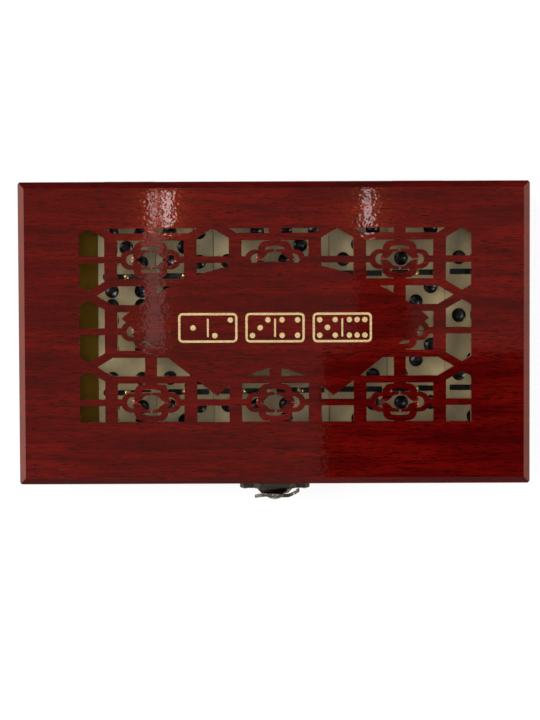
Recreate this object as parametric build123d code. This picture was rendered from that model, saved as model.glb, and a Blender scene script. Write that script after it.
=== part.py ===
from build123d import *
import math
import os

# A hinged wooden box for a 28-piece domino set, seen lid up.
# Millimetres. Origin: middle of the footprint, on the surface that the box stands on.
# +X right, +Y rear (hinges), -Y front (latch), +Z up.

# ---- domino tiles and the room that the box leaves them ----------------------------------
TILE_LENGTH = 50.0
TILE_WIDTH = 24.8
TILE_HEIGHT = 10.0
TILE_CHAMFER = 0.4
TILE_SIDE_GAP = 0.2
TILE_END_GAP = 0.2
TILE_COLUMNS = 7
TILE_LAYERS = 2
TILE_WALL_GAP = 0.3
TILE_HEADROOM = 1.0
FINGER_BAY = 22.9
STACK_FRONT_GAP = 3.4
STACK_REAR_GAP = 3.54
STACK_SLANT = 0.31
PIP_PITCH = 6.4
PIP_DIAMETER = 5.9
PIP_DEPTH = 0.9
PIP_SIDES = 6
BAR_LENGTH = 20.8
BAR_WIDTH = 2.4
BAR_DEPTH = 0.7
STUD_DIAMETER = 3.5
STUD_HEIGHT = 0.6
STUD_TAPER = 30.0
STUD_SIDES = 6
STUD_SEAT_CLEARANCE = 0.1

# ---- box -------------------------------------------------------------------------------
WALL = 10.0
LID_RIM_HEIGHT = 10.0
CORNER_FLAT = 0.8
SEAM_CHAMFER = 0.5
FOOT_CHAMFER = 0.6

# ---- floor -----------------------------------------------------------------------------
FLOOR_THICKNESS = 4.0
FLOOR_REBATE = 5.0
LINING_THICKNESS = 1.0
LINING_CLEARANCE = 0.2

# ---- lid panel -------------------------------------------------------------------------
PANEL_THICKNESS = 4.0
PANEL_BEVEL_WIDTH = 2.8
PANEL_BEVEL_HEIGHT = 2.6

# ---- window lattice in the lid panel -----------------------------------------------------
WINDOW_CENTRE_X = 0.5
WINDOW_HALF_LENGTH = 83.3
WINDOW_REAR = 44.6
WINDOW_FRONT = -37.8
LATTICE_CENTRE_Y = 0.9
ROSETTE_PITCH_X = 52.95
ROSETTE_PITCH_Y = 30.4
CELL_HALF_LENGTH = 14.2
CELL_HALF_DEPTH = 8.2
NARROW_HALF_LENGTH = 6.84
SLOT_HALF_DEPTH = 3.95
POST_WIDTH = 5.1
MID_BAR_WIDTH = 2.8
BRACE_WIDTH = 3.5
BRACE_ANGLE = 30.0
LEAST_HOLE_AREA = 1.5

# ---- rosette -----------------------------------------------------------------------------
PETAL_REAR_OFFSET = 4.2
PETAL_REAR_LENGTH = 14.5
PETAL_REAR_WIDTH = 7.3
PETAL_SIDE_OFFSET = 7.25
PETAL_SIDE_LENGTH = 11.1
PETAL_SIDE_WIDTH = 8.4
EYE_REAR = (0.0, 3.2)
EYE_BROW = (1.7, 3.05)
EYE_SHOULDER = (3.2, 2.45)
EYE_WAIST = (4.5, 1.0)
EYE_TIP = (6.3, 0.1)
EYE_REAR_SLIT = 0.8
EYE_SIDE_SLIT = 0.4
REAR_SLOT_OUTSIDE = ((3.9, 5.2), (0.0, 5.75))
REAR_SLOT_INSIDE = ((4.3, 4.1), (0.0, 4.35))
SIDE_SLOT_OUTSIDE = ((7.2, 2.3), (10.3, 0.0))
SIDE_SLOT_INSIDE = ((7.6, 1.7), (8.2, 0.0))

# ---- folding-fan plaque in the middle of the lattice ---------------------------------------
FAN_TIP = (65.4, 6.4)
FAN_REAR_Y = 30.3
FAN_SIDE_BULGE = (45.4, -10.6)
FAN_HEEL = (24.6, -26.7)
FAN_FRONT_BULGE = (11.7, -17.9)
FAN_FRONT_Y = -14.5

# ---- hinges ----------------------------------------------------------------------------------
HINGE_CENTRE_X = 62.0
HINGE_LENGTH = 22.0
HINGE_LEAF_DEPTH = 7.5
HINGE_LEAF_THICKNESS = 0.8
HINGE_KNUCKLE_RADIUS = 1.0
HINGE_PIN_RADIUS = 0.5
HINGE_PIN_CLEARANCE = 0.06
HINGE_KNUCKLES = 3
HINGE_KNUCKLE_SIDES = 12
HINGE_KNUCKLE_GAP = 0.2
HINGE_LEAF_GAP = 0.1
HINGE_AXIS_INSET = 0.35
HINGE_WOOD_CLEARANCE = 0.35
HINGE_SCREW_SPACING = 13.0
HINGE_SCREW_INSET = 4.6
HINGE_SCREW_RADIUS = 0.8
HINGE_SCREW_LENGTH = 6.5
HINGE_SCREW_HEAD_RADIUS = 1.5
HINGE_SCREW_CLEARANCE = 0.05

# ---- latch -------------------------------------------------------------------------------------
LATCH_PLATE_WIDTH = 30.0
LATCH_PLATE_HEIGHT = 10.6
LATCH_PLATE_THICKNESS = 2.4
LATCH_PLATE_SEAM_GAP = 0.4
LATCH_PLATE_EDGE = 0.5
LATCH_SHOULDER_WIDTH = 18.0
LATCH_SHOULDER_HEIGHT = 6.8
LATCH_SHOULDER_CLIP = 2.4
LATCH_EAR_CLIP = 1.6
BOSS_BASE_LENGTH = 15.6
BOSS_BASE_HEIGHT = 8.0
BOSS_RISE = 2.2
BOSS_CLIP = 2.2
BOSS_TAPER = 42.0
PIVOT_ABOVE_SEAM = 5.2
PIVOT_TO_KEEPER = 7.8
LEVER_THICKNESS = 1.3
LEVER_PLAY = 0.1
LEVER_HUB_RADIUS = 3.8
LEVER_TAB_REACH = 8.6
LEVER_TAB_WIDTH = 2.8
LEVER_TAB_LIFT = 0.7
LEVER_BEND_X = 5.95
LEVER_HORN_CLEARANCE = 0.35
HORN_ROOT_WIDTH = 5.2
HORN_RISE = 4.1
HORN_CROWN_WIDTH = 3.2
HORN_SHOULDER_WIDTH = 2.6
HORN_FINGER_WIDTH = 1.6
HORN_TIP_WIDTH = 0.8
HORN_TIP_DROP = 3.0
KEEPER_NECK_RADIUS = 0.9
KEEPER_CLEARANCE = 0.35
KEEPER_HEAD_RADIUS = 2.1
KEEPER_HEAD_HEIGHT = 1.0
RIVET_RADIUS = 1.3
RIVET_CLEARANCE = 0.06
RIVET_HEAD_RADIUS = 3.4
RIVET_HEAD_HEIGHT = 1.3
NAIL_SPACING = 25.6
NAIL_RADIUS = 0.6
NAIL_LENGTH = 8.0
NAIL_HEAD_RADIUS = 1.3
NAIL_HEAD_HEIGHT = 0.5
NAIL_CLEARANCE = 0.03
NAIL_FROM_SEAM = 3.8

# ---- fasteners -----------------------------------------------------------------------------------
HEAD_SIDES = 16
HEAD_TAPER = 42.0
FASTENER_SIDES = 8

# ---- worked out from the sizes above ---------------------------------------------------------------
LINING_TOP = FLOOR_THICKNESS + LINING_THICKNESS
SEAM_Z = LINING_TOP + TILE_LAYERS * TILE_HEIGHT + TILE_HEADROOM
PANEL_Z = SEAM_Z + LID_RIM_HEIGHT
ROW_LENGTH = TILE_COLUMNS * (TILE_WIDTH + TILE_SIDE_GAP) - TILE_SIDE_GAP
STACK_DEPTH = 2 * TILE_LENGTH + TILE_END_GAP + (TILE_COLUMNS - 1) * STACK_SLANT
INNER_LENGTH = FINGER_BAY + ROW_LENGTH + TILE_WALL_GAP
INNER_DEPTH = STACK_FRONT_GAP + STACK_DEPTH + STACK_REAR_GAP
BOX_LENGTH = INNER_LENGTH + 2 * WALL
BOX_DEPTH = INNER_DEPTH + 2 * WALL
FRONT_Y = -BOX_DEPTH / 2
REAR_Y = BOX_DEPTH / 2
HINGE_AXIS_Y = REAR_Y - HINGE_AXIS_INSET
PIVOT_Z = SEAM_Z + PIVOT_ABOVE_SEAM
KEEPER_Z = PIVOT_Z - PIVOT_TO_KEEPER
HORN_REACH = PIVOT_TO_KEEPER + KEEPER_NECK_RADIUS + KEEPER_CLEARANCE + HORN_FINGER_WIDTH
LEVER_STANDOFF = LATCH_PLATE_THICKNESS + BOSS_RISE + LEVER_PLAY
RIVET_HEAD_STANDOFF = LEVER_STANDOFF + LEVER_THICKNESS + LEVER_PLAY
LID_NAIL_Z = SEAM_Z + NAIL_FROM_SEAM
BODY_NAIL_Z = SEAM_Z - NAIL_FROM_SEAM

# Tiles from left to right, each with its rear and its front value.
UPPER_REAR_ROW = "5|6 5|5 2|4 5|1 3|6 2|3 2|2"
UPPER_FRONT_ROW = "4|6 4|5 1|4 1|6 5|3 3|4 3|1"
LOWER_REAR_ROW = "0|0 0|2 6|0 1|1 2|5 3|3 6|6"
LOWER_FRONT_ROW = "0|1 3|0 0|4 5|0 1|2 2|6 4|4"


def save(shape, name):
    shape.label = name
    export_step(shape, os.path.join("parts", name + ".step"))


def block(low, high):
    """A box between two opposite corners."""
    size = [b - a for a, b in zip(low, high)]
    centre = [(a + b) / 2 for a, b in zip(low, high)]
    return Pos(*centre) * Box(*size)


def both_ways(shape):
    """A sketch and its copy mirrored left to right."""
    return shape + mirror(shape, about=Plane.YZ)


def clipped_rectangle(length, height, clip):
    outline = Rectangle(length, height)
    return chamfer(outline.vertices(), clip)


def front_plane(x, z, standoff):
    """Looks at the front of the box: its own x is +X, its y is +Z, its z points out."""
    return Plane(origin=(x, FRONT_Y - standoff, z), x_dir=(1, 0, 0), z_dir=(0, -1, 0))


def fastener_bar(radius, length, taper=0):
    """A small bar with few sides from z = 0 upwards, narrowing by an angle."""
    return extrude(RegularPolygon(radius, FASTENER_SIDES), length, taper=taper)


# ---- walls ---------------------------------------------------------------------------------------


def wall_frame(low_z, height):
    """Four walls in one piece, before the mitres are sawn."""
    outline = clipped_rectangle(BOX_LENGTH, BOX_DEPTH, CORNER_FLAT)
    return Pos(0, 0, low_z) * extrude(outline - Rectangle(INNER_LENGTH, INNER_DEPTH), height)


def outer_edges(shape, top):
    """Edges round the outside of a frame's upper or lower face."""
    face = shape.faces().sort_by(Axis.Z)[-1 if top else 0]
    return face.outer_wire().edges()


def body_frame():
    frame = wall_frame(0, SEAM_Z)
    frame = chamfer(outer_edges(frame, True), SEAM_CHAMFER)
    frame = chamfer(outer_edges(frame, False), FOOT_CHAMFER)
    rebate = Rectangle(INNER_LENGTH + 2 * FLOOR_REBATE, INNER_DEPTH + 2 * FLOOR_REBATE)
    frame -= extrude(rebate, FLOOR_THICKNESS)
    frame -= hinge_recesses(-1)
    return frame - nail_holes(BODY_NAIL_Z)


def lid_frame():
    frame = wall_frame(SEAM_Z, LID_RIM_HEIGHT)
    frame = chamfer(outer_edges(frame, False), SEAM_CHAMFER)
    frame -= hinge_recesses(1)
    return frame - nail_holes(LID_NAIL_Z)


def mitred_walls(frame):
    """Saws a frame into front, rear, left and right along its mitres."""
    x = BOX_LENGTH / 2
    y = BOX_DEPTH / 2
    inner_x = x - WALL
    inner_y = y - WALL
    front = [(-x, -y), (x, -y), (inner_x, -inner_y), (-inner_x, -inner_y)]
    left = [(-x, -y), (-inner_x, -inner_y), (-inner_x, inner_y), (-x, y)]
    outlines = {
        "front": front,
        "rear": [(across, -along) for across, along in front],
        "left": left,
        "right": [(-across, along) for across, along in left],
    }
    walls = {}
    for side, corners in outlines.items():
        wedge = extrude(Polygon(*corners, align=None), PANEL_Z, both=True)
        walls[side] = frame & wedge
    return walls


def floor_panel():
    half_x = INNER_LENGTH / 2 + FLOOR_REBATE
    half_y = INNER_DEPTH / 2 + FLOOR_REBATE
    return block((-half_x, -half_y, 0), (half_x, half_y, FLOOR_THICKNESS))


def floor_lining():
    half_x = INNER_LENGTH / 2 - LINING_CLEARANCE
    half_y = INNER_DEPTH / 2 - LINING_CLEARANCE
    return block((-half_x, -half_y, FLOOR_THICKNESS), (half_x, half_y, LINING_TOP))


# ---- fretwork ------------------------------------------------------------------------------------


def rosette():
    """Four overlapping petals: rear, front, left and right."""
    rear = SlotOverall(PETAL_REAR_LENGTH, PETAL_REAR_WIDTH)
    side = SlotOverall(PETAL_SIDE_LENGTH, PETAL_SIDE_WIDTH)
    ends = Pos(0, PETAL_REAR_OFFSET) * rear + Pos(0, -PETAL_REAR_OFFSET) * rear
    return ends + Pos(PETAL_SIDE_OFFSET, 0) * side + Pos(-PETAL_SIDE_OFFSET, 0) * side


def mirrored(point, x_sign, y_sign):
    return (x_sign * point[0], y_sign * point[1])


def eye_middle():
    """The middle opening: an oval drawn out to a point on each side."""
    edges = []
    for x_sign, y_sign in ((1, 1), (1, -1), (-1, -1), (-1, 1)):
        points = (EYE_REAR, EYE_BROW, EYE_SHOULDER, EYE_WAIST, EYE_TIP)
        rear, brow, shoulder, waist, tip = [mirrored(point, x_sign, y_sign) for point in points]
        edges += [ThreePointArc(rear, brow, shoulder), ThreePointArc(shoulder, waist, tip)]
    for x_sign in (1, -1):
        edges.append(Line(mirrored(EYE_TIP, x_sign, 1), mirrored(EYE_TIP, x_sign, -1)))
    return make_face(edges)


def curved_slot(outside, inside):
    """A slot between two arcs, each given by one end and its middle, with straight ends."""
    x_sign = -1 if outside[1][0] == 0 else 1
    edges = []
    for end, middle in (outside, inside):
        edges.append(ThreePointArc(end, middle, mirrored(end, x_sign, -x_sign)))
    edges.append(Line(edges[0] @ 0, edges[1] @ 0))
    edges.append(Line(edges[0] @ 1, edges[1] @ 1))
    return make_face(edges)


def rosette_eye():
    """Openings inside the rosette: what is left between them are four curled leaves."""
    rear = curved_slot(REAR_SLOT_OUTSIDE, REAR_SLOT_INSIDE)
    side = curved_slot(SIDE_SLOT_OUTSIDE, SIDE_SLOT_INSIDE)
    rear_slit = Rectangle(EYE_REAR_SLIT, REAR_SLOT_OUTSIDE[1][1] + REAR_SLOT_INSIDE[1][1])
    side_slit = Rectangle(SIDE_SLOT_OUTSIDE[1][0] + SIDE_SLOT_INSIDE[1][0], EYE_SIDE_SLIT)
    slots = rear + mirror(rear, about=Plane.XZ) + both_ways(side)
    return slots + eye_middle() + rear_slit + side_slit


def rosette_cell():
    """Openings of one cell: round the rosette, and inside its eye."""
    cell = Rectangle(2 * CELL_HALF_LENGTH, 2 * CELL_HALF_DEPTH)
    cell -= Rectangle(POST_WIDTH, 2 * CELL_HALF_DEPTH)
    cell -= Rectangle(2 * CELL_HALF_LENGTH, MID_BAR_WIDTH)
    return cell - rosette() + rosette_eye()


def brace_edge(along):
    """How far a diagonal brace reaches from the crossing, square to the row, at a place along it."""
    slope = math.radians(BRACE_ANGLE)
    return along * math.tan(slope) + BRACE_WIDTH / 2 / math.cos(slope)


def narrow_cell():
    """Two openings with roof-shaped ends, one each side of the middle bar."""
    peak = ROSETTE_PITCH_Y / 2 - brace_edge(0)
    eave = ROSETTE_PITCH_Y / 2 - brace_edge(NARROW_HALF_LENGTH)
    low = MID_BAR_WIDTH / 2
    half = NARROW_HALF_LENGTH
    corners = [(-half, low), (half, low), (half, eave), (0, peak), (-half, eave)]
    opening = Polygon(*corners, align=None)
    return opening + mirror(opening, about=Plane.XZ)


def slot_pair():
    """Two pointed slots, one each side of a post, ending at the brace crossings."""
    slope = math.radians(BRACE_ANGLE)
    crossing = ROSETTE_PITCH_X / 2
    tip = crossing - BRACE_WIDTH / 2 / math.sin(slope)
    shoulder = tip - SLOT_HALF_DEPTH / math.tan(slope)
    half = SLOT_HALF_DEPTH
    near = POST_WIDTH / 2
    corners = [(near, -half), (shoulder, -half), (tip, 0), (shoulder, half), (near, half)]
    return both_ways(Polygon(*corners, align=None))


def fan_plaque():
    """Outline of the open folding fan that lies over the lattice."""
    tip_x, tip_y = FAN_TIP
    heel_x, heel_y = FAN_HEEL
    side_x, side_y = FAN_SIDE_BULGE
    bulge_x, bulge_y = FAN_FRONT_BULGE
    front = (0, FAN_FRONT_Y)
    edges = [
        ThreePointArc((-tip_x, tip_y), (0, FAN_REAR_Y), (tip_x, tip_y)),
        ThreePointArc((tip_x, tip_y), (side_x, side_y), (heel_x, heel_y)),
        ThreePointArc((heel_x, heel_y), (bulge_x, bulge_y), front),
        ThreePointArc(front, (-bulge_x, bulge_y), (-heel_x, heel_y)),
        ThreePointArc((-heel_x, heel_y), (-side_x, side_y), (-tip_x, tip_y)),
    ]
    return make_face(edges)


def window_openings():
    """Every opening of the lattice, cut off at the window's edge and at the fan."""
    openings = []
    for column in (-1, 0, 1):
        x = column * ROSETTE_PITCH_X
        for row in (-1, 0, 1):
            openings.append(Pos(x, LATTICE_CENTRE_Y + row * ROSETTE_PITCH_Y) * rosette_cell())
        for row in (-1.5, -0.5, 0.5, 1.5):
            openings.append(Pos(x, LATTICE_CENTRE_Y + row * ROSETTE_PITCH_Y) * slot_pair())
    for column in (-1.5, -0.5, 0.5, 1.5):
        for row in (-1, 0, 1):
            place = Pos(column * ROSETTE_PITCH_X, LATTICE_CENTRE_Y + row * ROSETTE_PITCH_Y)
            openings.append(place * narrow_cell())
    window = Pos(0, (WINDOW_REAR + WINDOW_FRONT) / 2) * Rectangle(
        2 * WINDOW_HALF_LENGTH, WINDOW_REAR - WINDOW_FRONT
    )
    cut = ((Sketch() + openings) & window) - fan_plaque()
    return [face for face in cut.faces() if face.area > LEAST_HOLE_AREA]


def lid_panel():
    outline = clipped_rectangle(BOX_LENGTH, BOX_DEPTH, CORNER_FLAT)
    panel = extrude(outline, PANEL_THICKNESS)
    bevel_foot = PANEL_THICKNESS - PANEL_BEVEL_HEIGHT
    bevel_angle = math.degrees(math.atan2(PANEL_BEVEL_WIDTH, PANEL_BEVEL_HEIGHT))
    crown = extrude(Rectangle(BOX_LENGTH, BOX_DEPTH), PANEL_BEVEL_HEIGHT, taper=bevel_angle)
    base = extrude(Rectangle(BOX_LENGTH, BOX_DEPTH), bevel_foot)
    panel &= base + Pos(0, 0, bevel_foot) * crown
    place = Pos(WINDOW_CENTRE_X, 0)
    holes = [extrude(place * face, PANEL_THICKNESS) for face in window_openings()]
    return Pos(0, 0, PANEL_Z) * (panel - holes)


# ---- domino tiles --------------------------------------------------------------------------------


def pip_places(value):
    """Middles of a value's pips, in pip pitches from the middle of the half tile."""
    places = []
    if value % 2 == 1:
        places += [(0, 0)]
    if value >= 2:
        places += [(1, 1), (-1, -1)]
    if value >= 4:
        places += [(1, -1), (-1, 1)]
    if value == 6:
        places += [(1, 0), (-1, 0)]
    return places


def pip_well():
    """A sunk pip with flat sides that meet in a point: its mouth is at z = 0."""
    rim = [Vector(PIP_DIAMETER / 2, 0).rotate(Axis.Z, 360 * k / PIP_SIDES) for k in range(PIP_SIDES)]
    bottom = Vector(0, 0, -PIP_DEPTH)
    sides = [Face(Wire.make_polygon([a, b, bottom])) for a, b in zip(rim, rim[1:] + rim[:1])]
    return Solid(Shell(sides + [Face(Wire.make_polygon(rim))]))


def blank_tile():
    """A tile with its middle bar and the seat of its stud, upper face at z = 0."""
    tile = Pos(0, 0, -TILE_HEIGHT / 2) * Box(TILE_WIDTH, TILE_LENGTH, TILE_HEIGHT)
    tile = chamfer(tile.edges().group_by(Axis.Z)[-1], TILE_CHAMFER)
    seat = RegularPolygon(STUD_DIAMETER / 2 + STUD_SEAT_CLEARANCE, STUD_SIDES)
    return tile - extrude(Rectangle(BAR_LENGTH, BAR_WIDTH) + seat, -BAR_DEPTH)


def domino(blank, rear_value, front_value):
    well = pip_well()
    wells = []
    for value, half in ((rear_value, 1), (front_value, -1)):
        for across, along in pip_places(value):
            x = across * PIP_PITCH
            y = half * TILE_LENGTH / 4 + along * PIP_PITCH
            wells.append(Pos(x, y) * well)
    return blank - wells if wells else blank


def spinner_stud():
    """The low stud in the middle of a tile, foot at z = 0."""
    return extrude(RegularPolygon(STUD_DIAMETER / 2, STUD_SIDES), STUD_HEIGHT, taper=STUD_TAPER)


def tile_place(column, row, layer):
    """Middle of a tile's upper face: the stack is pushed to the right and lies a little aslant."""
    from_right = TILE_COLUMNS - 1 - column
    x = INNER_LENGTH / 2 - TILE_WALL_GAP - TILE_WIDTH / 2 - from_right * (TILE_WIDTH + TILE_SIDE_GAP)
    front = -INNER_DEPTH / 2 + STACK_FRONT_GAP + TILE_LENGTH / 2
    y = front + row * (TILE_LENGTH + TILE_END_GAP) + column * STACK_SLANT
    return Pos(x, y, LINING_TOP + (layer + 1) * TILE_HEIGHT)


def save_tiles():
    blank = blank_tile()
    stud = Pos(0, 0, -BAR_DEPTH) * spinner_stud()
    layers = {
        "lower": (LOWER_FRONT_ROW, LOWER_REAR_ROW),
        "upper": (UPPER_FRONT_ROW, UPPER_REAR_ROW),
    }
    for layer, (layer_name, rows) in enumerate(layers.items()):
        studs = []
        for row, tiles in enumerate(rows):
            for column, tile in enumerate(tiles.split()):
                rear_value, front_value = [int(value) for value in tile.split("|")]
                place = tile_place(column, row, layer)
                low, high = sorted((rear_value, front_value))
                save(place * domino(blank, rear_value, front_value), f"tile_{low}_{high}")
                studs.append(place * stud)
        save(Compound(children=studs), f"tile_studs_{layer_name}")


# ---- hinges --------------------------------------------------------------------------------------


def barrel(start, length, outline):
    """A bar along the hinge axis, from a place along it."""
    return Pos(start, HINGE_AXIS_Y, SEAM_Z) * Rot(0, 90, 0) * extrude(outline, length)


def round_room(radius):
    """A many-sided outline that leaves room for a circle of a given radius."""
    return RegularPolygon(radius, HINGE_KNUCKLE_SIDES, major_radius=False)


def leaf_block(side, half_length):
    """The flat of a leaf: side -1 lies in the body, side 1 in the lid."""
    near = HINGE_LEAF_GAP / 2
    far = near + HINGE_LEAF_THICKNESS
    low_z, high_z = sorted((SEAM_Z + side * near, SEAM_Z + side * far))
    front = REAR_Y - HINGE_LEAF_DEPTH
    return block((-half_length, front, low_z), (half_length, HINGE_AXIS_Y, high_z))


def screw_places():
    """Screw axes in a leaf, measured from the hinge's middle."""
    y = REAR_Y - HINGE_SCREW_INSET
    return [(-HINGE_SCREW_SPACING / 2, y), (HINGE_SCREW_SPACING / 2, y)]


def hinge_screw(side, clearance=0):
    """A countersunk screw, head flush with its leaf. With a clearance, the hole for it."""
    narrowing = HINGE_SCREW_HEAD_RADIUS - HINGE_SCREW_RADIUS
    taper = math.degrees(math.atan2(narrowing, HINGE_LEAF_THICKNESS))
    screw = fastener_bar(HINGE_SCREW_HEAD_RADIUS + clearance, HINGE_LEAF_THICKNESS, taper)
    screw += fastener_bar(HINGE_SCREW_RADIUS + clearance, HINGE_SCREW_LENGTH + clearance)
    if side < 0:
        screw = Rot(180, 0, 0) * screw
    return Pos(0, 0, SEAM_Z + side * HINGE_LEAF_GAP / 2) * screw


def hinge_leaf(side):
    """One leaf with its knuckles: the body's leaf has the outer ones."""
    leaf = leaf_block(side, HINGE_LENGTH / 2)
    pitch = HINGE_LENGTH / HINGE_KNUCKLES
    length = pitch - HINGE_KNUCKLE_GAP
    knuckle = RegularPolygon(HINGE_KNUCKLE_RADIUS, HINGE_KNUCKLE_SIDES)
    room = round_room(HINGE_KNUCKLE_RADIUS + HINGE_KNUCKLE_GAP)
    bore = round_room(HINGE_PIN_RADIUS + HINGE_PIN_CLEARANCE)
    for number in range(HINGE_KNUCKLES):
        start = -HINGE_LENGTH / 2 + number * pitch
        if (number % 2 == 0) == (side < 0):
            leaf += barrel(start + HINGE_KNUCKLE_GAP / 2, length, knuckle)
        else:
            leaf -= barrel(start - HINGE_KNUCKLE_GAP / 2, pitch + HINGE_KNUCKLE_GAP, room)
    leaf -= barrel(-HINGE_LENGTH, 2 * HINGE_LENGTH, bore)
    for x, y in screw_places():
        leaf -= Pos(x, y) * hinge_screw(side, HINGE_SCREW_CLEARANCE)
    return leaf


def hinge_pin():
    length = HINGE_LENGTH - HINGE_KNUCKLE_GAP
    return barrel(-length / 2, length, Circle(HINGE_PIN_RADIUS))


def hinge_recesses(side):
    """What both hinges need cut from the body (side -1) or the lid (side 1)."""
    reach = HINGE_KNUCKLE_RADIUS + HINGE_WOOD_CLEARANCE
    groove_end = HINGE_LENGTH / 2 + HINGE_WOOD_CLEARANCE
    groove = block(
        (-groove_end, HINGE_AXIS_Y - reach, SEAM_Z - reach),
        (groove_end, HINGE_AXIS_Y + reach, SEAM_Z + reach),
    )
    cuts = []
    for centre in (-HINGE_CENTRE_X, HINGE_CENTRE_X):
        place = Pos(centre, 0, 0)
        front = REAR_Y - HINGE_LEAF_DEPTH
        far = SEAM_Z + side * (HINGE_LEAF_GAP / 2 + HINGE_LEAF_THICKNESS)
        low_z, high_z = sorted((SEAM_Z, far))
        half = HINGE_LENGTH / 2
        cuts.append(place * block((-half, front, low_z), (half, HINGE_AXIS_Y, high_z)))
        cuts.append(place * groove)
        depth = side * (HINGE_SCREW_LENGTH + HINGE_SCREW_CLEARANCE)
        for x, y in screw_places():
            shank = fastener_bar(HINGE_SCREW_RADIUS + HINGE_SCREW_CLEARANCE, depth)
            cuts.append(place * Pos(x, y, SEAM_Z) * shank)
    return cuts


def save_hinges():
    places = {"left": Pos(-HINGE_CENTRE_X, 0, 0), "right": Pos(HINGE_CENTRE_X, 0, 0)}
    leaves = {"body": hinge_leaf(-1), "lid": hinge_leaf(1)}
    pin = hinge_pin()
    for hand, place in places.items():
        for owner, leaf in leaves.items():
            save(place * leaf, f"hinge_leaf_{owner}_{hand}")
        save(place * pin, f"hinge_pin_{hand}")
    for owner, side in (("body", -1), ("lid", 1)):
        screws = []
        for place in places.values():
            screws += [place * Pos(x, y) * hinge_screw(side) for x, y in screw_places()]
        save(Compound(children=screws), f"hinge_screws_{owner}")


# ---- latch ---------------------------------------------------------------------------------------


def latch_plate(side):
    """A plate with two low ears and a taller middle: side 1 on the lid, -1 on the body."""
    middle = clipped_rectangle(LATCH_SHOULDER_WIDTH, 2 * LATCH_PLATE_HEIGHT, LATCH_SHOULDER_CLIP)
    ears = clipped_rectangle(LATCH_PLATE_WIDTH, 2 * LATCH_SHOULDER_HEIGHT, LATCH_EAR_CLIP)
    half_window = Pos(0, LATCH_PLATE_HEIGHT / 2) * Rectangle(LATCH_PLATE_WIDTH, LATCH_PLATE_HEIGHT)
    outline = (middle + ears) & half_window
    plate = extrude(outline, LATCH_PLATE_THICKNESS)
    plate = chamfer(plate.faces().sort_by(Axis.Z)[-1].outer_wire().edges(), LATCH_PLATE_EDGE)
    if side < 0:
        plate = Rot(0, 0, 180) * plate
    plate = front_plane(0, SEAM_Z + side * LATCH_PLATE_SEAM_GAP, 0) * plate
    nail_z = LID_NAIL_Z if side > 0 else BODY_NAIL_Z
    return plate - nail_holes(nail_z)


def latch_lid_plate():
    foot = clipped_rectangle(BOSS_BASE_LENGTH, BOSS_BASE_HEIGHT, BOSS_CLIP)
    boss = extrude(foot, BOSS_RISE, taper=BOSS_TAPER)
    plate = latch_plate(1) + front_plane(0, PIVOT_Z, LATCH_PLATE_THICKNESS) * boss
    return plate - rivet_seat()


def latch_body_plate():
    hole = fastener_bar(KEEPER_NECK_RADIUS + NAIL_CLEARANCE, LATCH_PLATE_THICKNESS)
    return latch_plate(-1) - front_plane(0, KEEPER_Z, 0) * hole


def rivet_seat():
    outline = RegularPolygon(RIVET_RADIUS + RIVET_CLEARANCE, FASTENER_SIDES, major_radius=False)
    return front_plane(0, PIVOT_Z, 0) * extrude(outline, RIVET_HEAD_STANDOFF)


def button_head(radius, height):
    return extrude(RegularPolygon(radius, HEAD_SIDES), height, taper=HEAD_TAPER)


def latch_rivet():
    """The rivet that the lever turns on: the lever's bore runs on its round shank."""
    shank = Pos(0, 0, -RIVET_HEAD_STANDOFF) * extrude(Circle(RIVET_RADIUS), RIVET_HEAD_STANDOFF)
    rivet = button_head(RIVET_HEAD_RADIUS, RIVET_HEAD_HEIGHT) + shank
    return front_plane(0, PIVOT_Z, RIVET_HEAD_STANDOFF) * rivet


def latch_keeper():
    """The post that the horn hooks behind, with a wide head."""
    neck = Pos(0, 0, -RIVET_HEAD_STANDOFF) * fastener_bar(KEEPER_NECK_RADIUS, RIVET_HEAD_STANDOFF)
    keeper = button_head(KEEPER_HEAD_RADIUS, KEEPER_HEAD_HEIGHT) + neck
    return front_plane(0, KEEPER_Z, RIVET_HEAD_STANDOFF) * keeper


def tapered_bar(start, start_width, end, end_width):
    """A flat bar with round ends of two sizes."""
    first = Pos(*start) * Circle(start_width / 2)
    last = Pos(*end) * Circle(end_width / 2)
    return make_hull(first.edges() + last.edges())


def horn():
    """A tapered hook that rises from the hub and comes down round the keeper's neck."""
    clear = KEEPER_NECK_RADIUS + KEEPER_CLEARANCE
    finger_x = PIVOT_TO_KEEPER + clear + HORN_FINGER_WIDTH / 2
    spine = [
        (0, LEVER_HUB_RADIUS - HORN_ROOT_WIDTH / 2, HORN_ROOT_WIDTH),
        (PIVOT_TO_KEEPER / 2, HORN_RISE, HORN_CROWN_WIDTH),
        (PIVOT_TO_KEEPER, HORN_RISE, HORN_SHOULDER_WIDTH),
        (finger_x, clear, HORN_FINGER_WIDTH),
        (finger_x, -HORN_TIP_DROP, HORN_TIP_WIDTH),
    ]
    bars = []
    for (x, y, width), (next_x, next_y, next_width) in zip(spine, spine[1:]):
        bars.append(tapered_bar((x, y), width, (next_x, next_y), next_width))
    return Sketch() + bars


def lever_outline():
    """Front view of the lever round its rivet: horn to the right, thumb tab to the left."""
    tab_end = (-LEVER_TAB_REACH + LEVER_TAB_WIDTH / 2, 0)
    tab = tapered_bar((0, 0), 2 * LEVER_HUB_RADIUS, tab_end, LEVER_TAB_WIDTH)
    return horn() + tab - Circle(RIVET_RADIUS + RIVET_CLEARANCE)


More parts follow.
